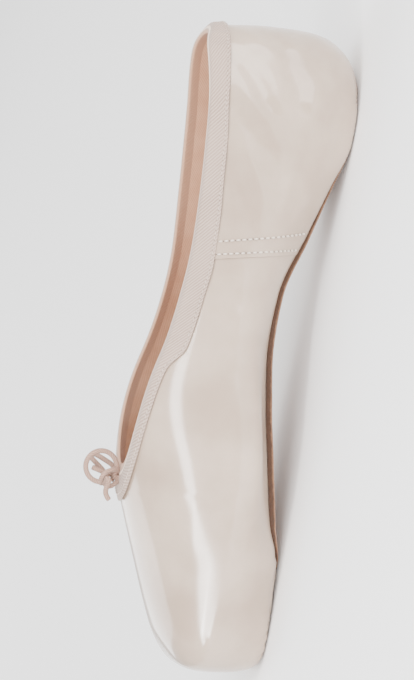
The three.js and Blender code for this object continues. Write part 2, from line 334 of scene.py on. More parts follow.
def rail(line: Line, side: Line, count: int) -> np.ndarray:
    """Left half of a line round the collar, from the heel's back to the throat.

    Args:
        line: Height as a function of the station.
        side: Inset of the sides as a function of the step.
        count: Number of points.

    Returns:
        Array of (at, y, z).
    """
    end = throat_step(line, float(side(np.array(0.75))))
    spread = np.linspace(0, 1, count)
    step = -1 + (end + 1) * (1 - (1 - spread) ** 2)
    inset = side(step)
    points = form_point(step, angle_on(step, line, inset), inset)
    points[[0, -1], 1] = 0
    return points


def outline_half(at: np.ndarray) -> np.ndarray:
    """Half width of the outsole's outline.

    Args:
        at: Stations.

    Returns:
        The half widths.
    """
    heel = np.clip((SOLE_HEEL_ROUND - at) / (SOLE_HEEL_ROUND - SOLE_HEEL_END), 0, 1)
    toe = np.clip((at - SOLE_TOE_ROUND) / (SOLE_TOE_END - SOLE_TOE_ROUND), 0, 1)
    heel_round = (1 - heel ** SOLE_HEEL_SQUARE) ** (1 / SOLE_HEEL_SQUARE)
    toe_round = (1 - toe ** SOLE_TOE_SQUARE) ** (1 / SOLE_TOE_SQUARE)
    return SOLE_HALF(at) * heel_round * toe_round


# ---------------------------------------------------------------- meshes


def travelled(points: np.ndarray, axis: int) -> np.ndarray:
    """Distance covered along one axis of a grid of points, starting at 0."""
    lengths = np.linalg.norm(np.diff(points, axis=axis), axis=-1)
    start = np.zeros_like(np.take(lengths, [0], axis=axis))
    return np.concatenate([start, np.cumsum(lengths, axis=axis)], axis=axis)


def mesh_object(name: str, points: np.ndarray, faces: Sequence, uvs: np.ndarray,
                material: bpy.types.Material) -> bpy.types.Object:
    """A smooth mesh object.

    Args:
        name: The piece's name.
        points: Vertices in the shoe's millimetres.
        faces: Vertex numbers of each face.
        uvs: Millimetres along and across the cloth at each vertex.
        material: Its finish.

    Returns:
        The object, linked to the scene.
    """
    mesh = bpy.data.meshes.new(name)
    mesh.from_pydata(to_metres(points).tolist(), [], [list(face) for face in faces])
    layer = mesh.uv_layers.new(name="cloth")
    corners = np.zeros(len(mesh.loops), dtype=np.int32)
    mesh.loops.foreach_get("vertex_index", corners)
    layer.data.foreach_set("uv", (uvs[corners] / 1000).astype(np.float32).ravel())
    mesh.polygons.foreach_set("use_smooth", np.ones(len(mesh.polygons), dtype=bool))
    mesh.materials.append(material)
    mesh.validate()
    mesh.update()
    piece = bpy.data.objects.new(name, mesh)
    bpy.context.scene.collection.objects.link(piece)
    return piece


def grid_faces(rows: int, columns: int, first: int = 0, closed: bool = False, flip: bool = False) -> list:
    """Faces of a grid whose vertices are numbered row by row.

    Args:
        rows: Number of rows.
        columns: Number of columns.
        first: Number of the first vertex.
        closed: Whether the last column joins the first.
        flip: Whether the faces turn the other way.

    Returns:
        The faces.
    """
    faces = []
    for row in range(rows - 1):
        for column in range(columns if closed else columns - 1):
            following = (column + 1) % columns
            face = (
                first + row * columns + column,
                first + row * columns + following,
                first + (row + 1) * columns + following,
                first + (row + 1) * columns + column,
            )
            faces.append(face[::-1] if flip else face)
    return faces


def cloth(name: str, points: np.ndarray, uvs: np.ndarray, material: bpy.types.Material,
          flip: bool = False) -> bpy.types.Object:
    """A sheet from a grid of points, welded where its edges meet.

    Args:
        name: The piece's name.
        points: Grid of points, rows by columns.
        uvs: Millimetres along and across the cloth at each point.
        material: Its finish.
        flip: Whether its face turns the other way.

    Returns:
        The object.
    """
    rows, columns = points.shape[:2]
    piece = mesh_object(
        name, points.reshape(-1, 3), grid_faces(rows, columns, flip=flip), uvs.reshape(-1, 2), material
    )
    weld(piece)
    return piece


def weld(piece: bpy.types.Object, distance: float = 0.00002) -> None:
    """Joins the vertices of a piece that lie together and drops the faces this flattens."""
    form = bmesh.new()
    form.from_mesh(piece.data)
    bmesh.ops.remove_doubles(form, verts=form.verts, dist=distance)
    bmesh.ops.dissolve_degenerate(form, edges=form.edges, dist=distance / 4)
    form.to_mesh(piece.data)
    form.free()


def both_sides(left: np.ndarray) -> np.ndarray:
    """A left half's grid with its mirror, joined at the first column, which lies on the middle line."""
    right = left[:, :0:-1] * MIRROR
    return np.concatenate([right, left], axis=1)


@dataclass
class Tubes:
    """Round threads gathered into one mesh."""

    sides: int = 6

    def __post_init__(self) -> None:
        """Starts with no threads."""
        self.points: list[np.ndarray] = []
        self.uvs: list[np.ndarray] = []
        self.faces: list = []
        self.count = 0

    def add(self, path: np.ndarray, radius: np.ndarray) -> None:
        """Adds one thread along a path.

        Args:
            path: Points of its centre line.
            radius: Its radius at each point.
        """
        ahead = np.gradient(path, axis=0)
        ahead /= np.maximum(np.linalg.norm(ahead, axis=1, keepdims=True), 1e-9)
        up = np.tile([0.21, 0.55, 0.81], (len(path), 1))
        for i in range(1, len(path)):
            up[i] = up[i - 1] - ahead[i] * np.dot(up[i - 1], ahead[i])
            up[i] /= max(np.linalg.norm(up[i]), 1e-9)
        up[0] = up[1]
        across = np.cross(ahead, up)
        across /= np.maximum(np.linalg.norm(across, axis=1, keepdims=True), 1e-9)
        up = np.cross(across, ahead)
        turn = np.linspace(0, 2 * math.pi, self.sides, endpoint=False)
        spread = across[:, None] * np.cos(turn)[None, :, None] + up[:, None] * np.sin(turn)[None, :, None]
        ring = path[:, None] + spread * np.asarray(radius)[:, None, None]
        along = np.concatenate([[0], np.cumsum(np.linalg.norm(np.diff(path, axis=0), axis=1))])
        uv = np.stack(np.broadcast_arrays(along[:, None], turn[None, :]), axis=-1)
        caps = np.array([path[0], path[-1]])
        self.points += [ring.reshape(-1, 3), caps]
        self.uvs += [uv.reshape(-1, 2), np.array([[along[0], 0], [along[-1], 0]])]
        self.faces += grid_faces(len(path), self.sides, self.count, closed=True)
        last = self.count + (len(path) - 1) * self.sides
        middle = self.count + len(path) * self.sides
        for i in range(self.sides):
            following = (i + 1) % self.sides
            self.faces.append((middle, self.count + following, self.count + i))
            self.faces.append((middle + 1, last + i, last + following))
        self.count += len(path) * self.sides + 2

    def build(self, name: str, material: bpy.types.Material) -> bpy.types.Object:
        """The threads as one object."""
        return mesh_object(name, np.concatenate(self.points), self.faces, np.concatenate(self.uvs), material)


def smooth_route(points: Sequence, spacing: float = 0.35) -> np.ndarray:
    """A smooth line through chosen points.

    Args:
        points: The points, in order.
        spacing: Distance between the line's own points.

    Returns:
        Points of the line.
    """
    points = np.asarray(points, float)
    padded = np.concatenate([2 * points[:1] - points[1:2], points, 2 * points[-1:] - points[-2:-1]])
    line = [points[:1]]
    for a, b, c, d in zip(padded, padded[1:], padded[2:], padded[3:]):
        count = max(2, math.ceil(np.linalg.norm(c - b) / spacing))
        t = np.linspace(0, 1, count + 1)[1:, None]
        line.append(
            0.5 * (2 * b + (c - a) * t + (2 * a - 5 * b + 4 * c - d) * t ** 2
                   + (3 * b - a - 3 * c + d) * t ** 3)
        )
    return np.concatenate(line)


# ---------------------------------------------------------------- shader building


def linear(red: int, green: int, blue: int) -> tuple:
    """A colour of 0 to 255 as the linear colour that a shader takes."""
    def channel(value: int) -> float:
        """One channel in linear light."""
        share = value / 255
        return share / 12.92 if share <= 0.04045 else ((share + 0.055) / 1.055) ** 2.4
    return (channel(red), channel(green), channel(blue), 1.0)


Socket = bpy.types.NodeSocket | float | tuple


class Graph:
    """A node tree with short ways to add nodes and join them."""

    def __init__(self, tree: bpy.types.NodeTree) -> None:
        """Wraps a tree."""
        self.tree = tree

    def node(self, kind: str, inputs: dict | None = None, **settings: object) -> bpy.types.Node:
        """Adds a node.

        Args:
            kind: The node's type.
            inputs: Values or outputs for its sockets, by name or number.
            settings: Its own properties.

        Returns:
            The node.
        """
        node = self.tree.nodes.new(kind)
        for name, value in settings.items():
            setattr(node, name, value)
        for key, value in (inputs or {}).items():
            self.give(node.inputs[key], value)
        return node

    def give(self, socket: bpy.types.NodeSocket, value: Socket) -> None:
        """Joins an output to a socket, or sets the socket's own value."""
        if isinstance(value, bpy.types.NodeSocket):
            self.tree.links.new(value, socket)
        else:
            socket.default_value = value

    def math(self, operation: str, first: Socket, second: Socket = 0.0,
             third: Socket = 0.0) -> bpy.types.NodeSocket:
        """The output of one arithmetic node."""
        return self.node("ShaderNodeMath", {0: first, 1: second, 2: third}, operation=operation).outputs[0]

    def blend(self, share: Socket, first: Socket, second: Socket) -> bpy.types.NodeSocket:
        """A colour between two others, by a share of 0 to 1."""
        return self.node("ShaderNodeMix", {0: share, 6: first, 7: second}, data_type="RGBA").outputs[2]

    def ramp(self, value: Socket, low: Socket, high: Socket, start: float = 0.0,
             end: float = 1.0) -> bpy.types.NodeSocket:
        """A value carried from low..high to start..end, and held beyond."""
        ends = {0: value, 1: low, 2: high, 3: start, 4: end}
        return self.node("ShaderNodeMapRange", ends, interpolation_type="SMOOTHSTEP").outputs[0]

    def noise(self, where: Socket, scale: Socket, detail: float) -> bpy.types.NodeSocket:
        """Soft noise of 0 to 1 over a set of coordinates."""
        return self.node("ShaderNodeTexNoise", {"Vector": where, "Scale": scale, "Detail": detail}).outputs[0]


def group_tree(name: str, inputs: dict, outputs: Sequence) -> tuple:
    """A new shader group.

    Args:
        name: Its name.
        inputs: Default values of its number inputs, by name.
        outputs: Names of its number outputs.

    Returns:
        Its tree, graph, input node and output node.
    """
    tree = bpy.data.node_groups.new(name, "ShaderNodeTree")
    tree.interface.new_socket("Vector", in_out="INPUT", socket_type="NodeSocketVector")
    for key, value in inputs.items():
        socket = tree.interface.new_socket(key, in_out="INPUT", socket_type="NodeSocketFloat")
        socket.default_value = value
    for key in outputs:
        tree.interface.new_socket(key, in_out="OUTPUT", socket_type="NodeSocketFloat")
    return tree, Graph(tree), tree.nodes.new("NodeGroupInput"), tree.nodes.new("NodeGroupOutput")


def threads_group() -> bpy.types.NodeTree:
    """Ribs of a woven cloth: a main set at a slant, crossed by a finer one."""
    sizes = {"Pitch": 0.5, "Cross": 0.3, "Slant": 45.0}
    tree, graph, given, out = group_tree("threads", sizes, ("Height", "Slub"))
    parts = graph.node("ShaderNodeSeparateXYZ", {0: given.outputs["Vector"]})
    angle = graph.math("RADIANS", given.outputs["Slant"])
    cosine, sine = graph.math("COSINE", angle), graph.math("SINE", angle)
    u, v = parts.outputs[0], parts.outputs[1]
    along = graph.math("ADD", graph.math("MULTIPLY", u, cosine), graph.math("MULTIPLY", v, sine))
    across = graph.math("SUBTRACT", graph.math("MULTIPLY", v, cosine), graph.math("MULTIPLY", u, sine))
    wander = graph.noise(given.outputs["Vector"], 900.0, 1.0)
    shift = graph.math("MULTIPLY", graph.math("SUBTRACT", wander, 0.5), 1.6)

    def wave(distance: Socket, pitch: Socket) -> bpy.types.NodeSocket:
        """A wave of 0 to 1 that repeats at a pitch in millimetres."""
        turns = graph.math("DIVIDE", graph.math("MULTIPLY", distance, 1000.0 * 2 * math.pi), pitch)
        return graph.math("MULTIPLY_ADD", graph.math("SINE", graph.math("ADD", turns, shift)), 0.5, 0.5)

    main = wave(along, given.outputs["Pitch"])
    cross = wave(across, given.outputs["Cross"])
    height = graph.math("MULTIPLY", main, graph.math("MULTIPLY_ADD", cross, 0.35, 0.65))
    graph.give(out.inputs["Height"], height)
    graph.give(out.inputs["Slub"], wander)
    return tree


def mottle_group() -> bpy.types.NodeTree:
    """Soft uneven patches, for colour, wear and painted sheen that vary over a piece."""
    tree, graph, given, out = group_tree("mottle", {"Size": 10.0, "Low": 0.35, "High": 0.65}, ("Value",))
    scale = graph.math("DIVIDE", 1000.0, given.outputs["Size"])
    noise = graph.noise(given.outputs["Vector"], scale, 3.0)
    patch = graph.ramp(noise, given.outputs["Low"], given.outputs["High"])
    graph.give(out.inputs["Value"], patch)
    return tree


@dataclass(frozen=True)
class Groups:
    """The shader groups that several finishes share."""

    threads: bpy.types.NodeTree
    mottle: bpy.types.NodeTree


class Finish:
    """A material under construction: its graph, its shader and its coordinates."""

    def __init__(self, name: str, groups: Groups) -> None:
        """Starts a material with a Principled shader."""
        self.material = bpy.data.materials.new(name)
        self.material.use_nodes = True
        self.graph = Graph(self.material.node_tree)
        self.groups = groups
        self.shader = self.material.node_tree.nodes["Principled BSDF"]
        coordinates = self.graph.node("ShaderNodeTexCoord")
        self.cloth = coordinates.outputs["UV"]
        self.solid = coordinates.outputs["Object"]

    def threads(self, pitch: float, cross: float, slant: float) -> bpy.types.Node:
        """A weave over the cloth's own directions."""
        inputs = {"Vector": self.cloth, "Pitch": pitch, "Cross": cross, "Slant": slant}
        return self.graph.node("ShaderNodeGroup", inputs, node_tree=self.groups.threads)

    def mottle(self, size: float, low: float = 0.35, high: float = 0.65) -> bpy.types.NodeSocket:
        """Patches of a size in millimetres."""
        inputs = {"Vector": self.solid, "Size": size, "Low": low, "High": high}
        return self.graph.node("ShaderNodeGroup", inputs, node_tree=self.groups.mottle).outputs["Value"]

    def bump(self, height: Socket, depth: float, strength: float = 1.0) -> None:
        """Feeds a height of 0 to 1, worth a depth in millimetres, to the shader's normal."""
        earlier = self.shader.inputs["Normal"].links
        relief = {"Height": height, "Distance": depth / 1000, "Strength": strength}
        node = self.graph.node("ShaderNodeBump", relief)
        if earlier:
            self.graph.give(node.inputs["Normal"], earlier[0].from_socket)
        self.graph.give(self.shader.inputs["Normal"], node.outputs[0])

    def feed(self, **sockets: Socket) -> None:
        """Sets or joins the shader's sockets, named with underscores for spaces."""
        for key, value in sockets.items():
            self.graph.give(self.shader.inputs[key.replace("_", " ").title().replace("Ior", "IOR")], value)


@dataclass(frozen=True)
class SatinFinish:
    """Glossy warp satin, with painted sheen in soft patches of its colour."""

    # light and deep are a lit and a shaded tone of the satin, mixed in soft patches as painted sheen.
    light: tuple = (190, 169, 151)
    deep: tuple = (168, 146, 128)
    slub: tuple = (152, 126, 108)
    roughness: float = 0.4

    def make(self, groups: Groups) -> bpy.types.Material:
        """The material."""
        finish = Finish("satin", groups)
        graph = finish.graph
        weave = finish.threads(0.16, 0.32, 90)
        # Painted sheen and shade: soft patches between the lit tone and the shaded tone stand for the satin's
        # uneven shine.
        patches = finish.mottle(28, 0.3, 0.7)
        colour = graph.blend(patches, linear(*self.light), linear(*self.deep))
        slub = graph.math("MULTIPLY", weave.outputs["Slub"], 0.12)
        colour = graph.blend(slub, colour, linear(*self.slub))
        rough = graph.ramp(finish.mottle(9), 0, 1, self.roughness - 0.03, self.roughness + 0.04)
        finish.feed(base_color=colour, roughness=rough, specular_ior_level=0.2, sheen_weight=0.03,
                    sheen_roughness=0.4, coat_weight=0.9, coat_ior=1.7, coat_roughness=0.12)
        finish.bump(weave.outputs["Height"], 0.012, 0.5)
        finish.bump(finish.mottle(3.2, 0.2, 0.8), 0.03, 0.35)
        return finish.material


@dataclass(frozen=True)
class TapeFinish:
    """Ribbed cotton tape, with a painted highlight along its fold."""

    light: tuple = (194, 172, 158)
    deep: tuple = (150, 128, 115)
    # fold is the colour of the painted highlight along the tape's rolled fold.
    fold: tuple = (232, 208, 188)
    inner: tuple = (188, 145, 116)
    worn: tuple = (184, 162, 148)

    def make(self, groups: Groups) -> bpy.types.Material:
        """The material."""
        finish = Finish("tape", groups)
        graph = finish.graph
        weave = finish.threads(0.85, 0.4, -52)
        across = graph.node("ShaderNodeSeparateXYZ", {0: finish.cloth}).outputs[1]
        colour = graph.blend(weave.outputs["Height"], linear(*self.deep), linear(*self.light))
        colour = graph.blend(graph.math("MULTIPLY", finish.mottle(14), 0.25), colour, linear(*self.worn))
        inside = graph.ramp(across, 0.0004, 0.0012)
        colour = graph.blend(graph.math("MULTIPLY", inside, 0.9), colour, linear(*self.inner))
        # Painted highlight: a pale band along the tape's rolled fold, over the collar's edge.
        from_fold = graph.math("ABSOLUTE", graph.math("ADD", across, 0.0003))
        fold_highlight = graph.ramp(from_fold, 0.0003, 0.0008, 1, 0)
        colour = graph.blend(fold_highlight, colour, linear(*self.fold))
        finish.feed(base_color=colour, roughness=0.82, specular_ior_level=0.25, sheen_weight=0.2)
        finish.bump(weave.outputs["Height"], 0.12, 0.8)
        return finish.material


@dataclass(frozen=True)
class LiningFinish:
    """Cotton drill lining."""

    light: tuple = (215, 171, 140)
    deep: tuple = (192, 145, 114)

    def make(self, groups: Groups) -> bpy.types.Material:
        """The material."""
        finish = Finish("lining", groups)
        graph = finish.graph
        weave = finish.threads(0.8, 0.45, -50)
        patches = graph.math("MULTIPLY", finish.mottle(7), 0.3)
        shade = graph.math("MULTIPLY_ADD", weave.outputs["Height"], 0.7, patches)
        finish.feed(base_color=graph.blend(shade, linear(*self.deep), linear(*self.light)), roughness=0.9,
                    specular_ior_level=0.2, sheen_weight=0.15)
        finish.bump(weave.outputs["Height"], 0.1, 0.7)
        return finish.material


@dataclass(frozen=True)
class SuedeFinish:
    """Brown split leather, with painted shade along the top of its edge, where it meets the satin."""

    nap: tuple = (140, 100, 70)
    deep: tuple = (104, 69, 45)
    # edge is the dark colour of the painted shade along the top of the edge, next to the satin.
    edge: tuple = (66, 42, 27)

    def make(self, groups: Groups) -> bpy.types.Material:
        """The material."""
        finish = Finish("suede", groups)
        graph = finish.graph
        across = graph.node("ShaderNodeSeparateXYZ", {0: finish.cloth}).outputs[1]
        fuzz = finish.mottle(0.9, 0.3, 0.7)
        patches = graph.math("MULTIPLY", finish.mottle(16), 0.5)
        colour = graph.blend(patches, linear(*self.nap), linear(*self.deep))
        colour = graph.blend(graph.math("MULTIPLY", fuzz, 0.45), colour, linear(*self.deep))
        wander = graph.math("MULTIPLY", graph.math("SUBTRACT", finish.mottle(2.5, 0.2, 0.8), 0.5), 0.0004)
        # Painted shade: a dark band along the top of the edge, next to the satin.
        painted_edge_shade = graph.ramp(graph.math("ADD", across, wander), 0.0011, 0.0019, 1, 0)
        colour = graph.blend(painted_edge_shade, colour, linear(*self.edge))
        finish.feed(base_color=colour, roughness=0.94, specular_ior_level=0.15, sheen_weight=0.3,
                    sheen_roughness=0.6)
        finish.bump(fuzz, 0.12, 0.8)
        finish.bump(finish.mottle(0.35, 0.3, 0.7), 0.05, 0.6)
        return finish.material


@dataclass(frozen=True)
class ThreadFinish:
    """Spun thread or braided cord, twisted round its length."""

    name: str
    light: tuple
    deep: tuple
    pitch: float
    slant: float = 35.0

    def make(self, groups: Groups) -> bpy.types.Material:
        """The material."""
        finish = Finish(self.name, groups)
        graph = finish.graph
        weave = finish.threads(self.pitch, self.pitch * 0.6, self.slant)
        finish.feed(base_color=graph.blend(weave.outputs["Height"], linear(*self.deep), linear(*self.light)),
                    roughness=0.75, specular_ior_level=0.3, sheen_weight=0.2)
        finish.bump(weave.outputs["Height"], 0.08, 0.7)
        return finish.material


@dataclass(frozen=True)
class Palette:
    """Every finish of the shoe."""

    satin: bpy.types.Material
    tape: bpy.types.Material
    lining: bpy.types.Material
    suede: bpy.types.Material
    sock: bpy.types.Material
    thread: bpy.types.Material
    tape_thread: bpy.types.Material
    # The dark thread is painted shade: the shadow line along the tape's edge and the shade in each needle
    # hole.
    shade_thread: bpy.types.Material
    cord: bpy.types.Material


def make_palette() -> Palette:
    """Builds the shared groups and all finishes."""
    groups = Groups(threads_group(), mottle_group())
    return Palette(
        satin=SatinFinish().make(groups),
        tape=TapeFinish().make(groups),
        lining=LiningFinish().make(groups),
        suede=SuedeFinish().make(groups),
        sock=ThreadFinish("sock", (204, 166, 138), (184, 142, 114), 0.9, -48).make(groups),
        thread=ThreadFinish("thread", (242, 230, 214), (216, 200, 184), 0.5).make(groups),
        tape_thread=ThreadFinish("tape_thread", (232, 216, 202), (194, 174, 160), 0.5).make(groups),
        # A dark thread used as painted shade: the shadow line along the tape's outer edge and the shade in
        # each needle hole.
        shade_thread=ThreadFinish("painted_shade_thread", (120, 102, 94), (96, 80, 73), 0.5).make(groups),
        cord=ThreadFinish("cord", (184, 152, 136), (128, 98, 82), 0.7, 40).make(groups),
    )


# ---------------------------------------------------------------- the pieces


class Slot(Enum):
    """The record's material slots."""

    SATIN = "satin"
    LEATHER = "leather"
    LINING = "lining"
    TAPE = "tape"
    CORD = "cord"


def place(piece: bpy.types.Object, slot: Slot, *nodes: str) -> bpy.types.Object:
    """Makes a piece ride the shoe.

    Args:
        piece: The piece.
        slot: The record's slot for its finish; not used.
        nodes: CAD nodes that it stands for.

    Returns:
        The piece.
    """
    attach(piece, "root")
    if nodes:
        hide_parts(*nodes)
    LOG.info("%s: %d faces", piece.name, len(piece.data.polygons))
    return piece


@dataclass
class Drawstring:
    """The bow at the throat: two lengths of cord that cross in one knot."""

    diameter: float = 1.9
    ring_at: float = 169.4
    ring_height: float = 68.5
    ring_radius: float = 5.7
    ring_side: float = 0.9
    ring_opening: float = 52.0
    knot_at: float = 173.3
    knot_height: float = 65.1

    def round_route(self) -> np.ndarray:
        """Cord out of the throat, through the knot, round the open loop and on into the long end."""
        toward = math.atan2(self.knot_height - self.ring_height, self.knot_at - self.ring_at)
        half = math.radians(self.ring_opening / 2)
        turn = toward + np.linspace(half, 2 * math.pi - half, 17)
        ring = [
            (self.ring_at + self.ring_radius * math.cos(a), self.ring_side,
             self.ring_height + self.ring_radius * math.sin(a))
            for a in turn
        ]
        start = [(172.0, 0.5, 60.6), (172.6, 0.4, 62.6)]
        long_end = [
            (174.5, 2.2, 66.2), (173.2, 4.0, 66.1), (174.0, 4.4, 65.4), (175.6, 3.6, 65.5),
            (177.4, 2.9, 65.7), (178.9, 2.6, 65.4), (180.1, 2.5, 64.6), (180.9, 2.4, 63.8),
        ]
        return smooth_route(start + ring[::-1] + long_end)

    def narrow_route(self) -> np.ndarray:
        """Cord out of the throat, round the narrow loop, through the knot and into the short end."""
        return smooth_route([
            (171.6, -0.8, 60.4), (171.2, -1.6, 62.9), (168.6, -3.2, 63.6), (166.8, -5.1, 67),
            (165.6, -6.1, 70.4), (166.7, -5.9, 71.6), (168.3, -4.6, 70), (170.1, -2.6, 67.8),
            (172.3, -1.1, 65.6), (172.4, -0.6, 65.2), (171.3, -0.7, 67.4), (170.8, -0.9, 69.2),
            (170.3, -1.1, 71.4),
        ])

    def build_cord(self, name: str, route: np.ndarray, palette: Palette) -> bpy.types.Object:
        """One cord as a tube, a little thinner at its cut end."""
        tubes = Tubes(sides=14)
        radius = np.full(len(route), self.diameter / 2)
        radius[-1] *= 0.8
        tubes.add(route, radius)
        return tubes.build(name, palette.cord)

    def build_knot(self, palette: Palette) -> bpy.types.Object:
        """The turns of cord drawn tight round the crossing: an arch in front, and one behind it."""
        tubes = Tubes(sides=14)
        arch = [
            (170.6, -0.9, 61.0), (169.7, 1.2, 62.4), (169.9, 2.9, 64.5), (170.8, 3.6, 66.5),
            (172.3, 3.4, 67.7), (174.0, 2.2, 68.0), (175.5, 0.3, 67.4), (174.6, -1.0, 66.0),
        ]
        behind = [
            (172.9, 0.2, 60.9), (174.4, 1.1, 62.2), (175.8, 1.5, 63.6), (176.1, 1.4, 65.1),
            (175.2, 0.6, 66.4), (173.2, -0.6, 66.2), (171.8, -0.6, 64.6), (172.6, -0.8, 63.2),
            (174.2, -0.8, 63.6),
        ]
        for points in (arch, behind):
            route = smooth_route(points)
            tubes.add(route, np.full(len(route), self.diameter * 0.45))
        return tubes.build("drawstring_wraps", palette.cord)

    def build(self, palette: Palette) -> None:
        """Builds the bow and its cords."""
        knot = place(self.build_knot(palette), Slot.CORD, "drawstring_knot")
        routes = (
            ("drawstring_round", self.round_route(), ("drawstring_round_loop", "drawstring_long_end")),
            ("drawstring_narrow", self.narrow_route(), ("drawstring_narrow_loop", "drawstring_short_end")),
        )
        for name, route, nodes in routes:
            piece = place(self.build_cord(name, route, palette), Slot.CORD, *nodes)


CREASE_FULLNESS = 3.0
CREASE_FAINT = 0.35
CREASE_TIP = 0.08


@dataclass(frozen=True)
class Crease:
    """A soft trough, or a ridge where depth is negative, between two places in side view."""

    at_from: float
    z_from: float
    at_to: float
    z_to: float
    width: float
    depth: float

    def trough(self, points: np.ndarray) -> np.ndarray:
        """How far the crease lies under the plain form at each point, fading toward its two ends.

        Args:
            points: Points of the plain form.

        Returns:
            Depth at each point, the same on both sides of the shoe.
        """
        start = np.array([self.at_from, self.z_from])
        run = np.array([self.at_to, self.z_to]) - start
        offset = points[..., [0, 2]] - start
        along = np.clip((offset @ run) / (run @ run), 0, 1)
        distance = np.linalg.norm(offset - along[..., None] * run, axis=-1)
        fade = mix(CREASE_FAINT, 1.0, np.sin(math.pi * np.clip(along, CREASE_TIP, 1 - CREASE_TIP)))
        return CREASE_FULLNESS * fade * self.depth * np.exp(-((distance / self.width) ** 2))


CREASES = (
    Crease(15, 47, 30, 36, 3.0, 0.30),
    Crease(21, 49, 40, 34, 3.6, -0.28),
    Crease(30, 49, 52, 27, 3.4, 0.26),
    Crease(44, 45, 64, 31, 3.8, -0.22),
    Crease(52, 45, 76, 33, 3.2, 0.22),
    Crease(8, 33, 34, 22, 4.5, 0.25),
    Crease(14, 20, 44, 15, 4.0, -0.22),
    Crease(36, 18, 62, 20, 3.5, 0.24),
    Crease(56, 22, 74, 26, 3.0, -0.18),
    Crease(92, 42, 110, 37, 3.6, 0.13),
    Crease(96, 33, 120, 32, 5.0, -0.14),
    Crease(100, 25, 124, 26, 4.2, 0.12),
    Crease(118, 22, 140, 18, 4.0, 0.08),
)


@dataclass(frozen=True)
class Pleats:
    """The pleats gathered under one end of the shoe.

    centre_at is the station that they run to, toward is 1 under the toe and -1 under the heel, and folds
    is the number of pleats in a half circle.
    """

    centre_at: float
    toward: int
    folds: int

    def depth(self, points: np.ndarray) -> np.ndarray:
        """How far the pleats lie over the plain underside.

        Args:
            points: Points of the plain form.

        Returns:
            Depth at each point.
        """
        ahead = (points[..., 0] - self.centre_at) * self.toward
        bearing = np.arctan2(points[..., 1], ahead)
        radius = np.hypot(points[..., 1], ahead)
        phase = bearing * self.folds / math.pi + 0.22 * np.sin(bearing * 5.3 + 1.1)
        saw = np.abs(2 * (phase - np.floor(phase + 0.5)))
        base = UNDERSIDE(points[..., 0]) + LIFT(points[..., 0])
        underneath = 1 - ease((points[..., 2] - base - 0.4) / 3.2)
        return underneath * ease(ahead / 6 + 0.6) * ease(radius / 8) * (0.15 + 0.75 * saw ** 1.5)


PLEATS = (Pleats(centre_at=190, toward=1, folds=46), Pleats(centre_at=24, toward=-1, folds=30))

# How far behind the quarters' front edge each row of stitches runs, at the sole and at the collar.
SEAM_ROWS = ((1.9, 1.5), (8.4, 6.1))
SEAM_ROW_START = 0.45
SEAM_ROW_SPREAD = 1.6


def seam_row(at_sole: float, at_collar: float, angle: np.ndarray) -> np.ndarray:
    """How far behind the quarters' front edge a row of stitches runs at each angle."""
    return mix(at_sole, at_collar, (angle - SEAM_ROW_START) / SEAM_ROW_SPREAD)


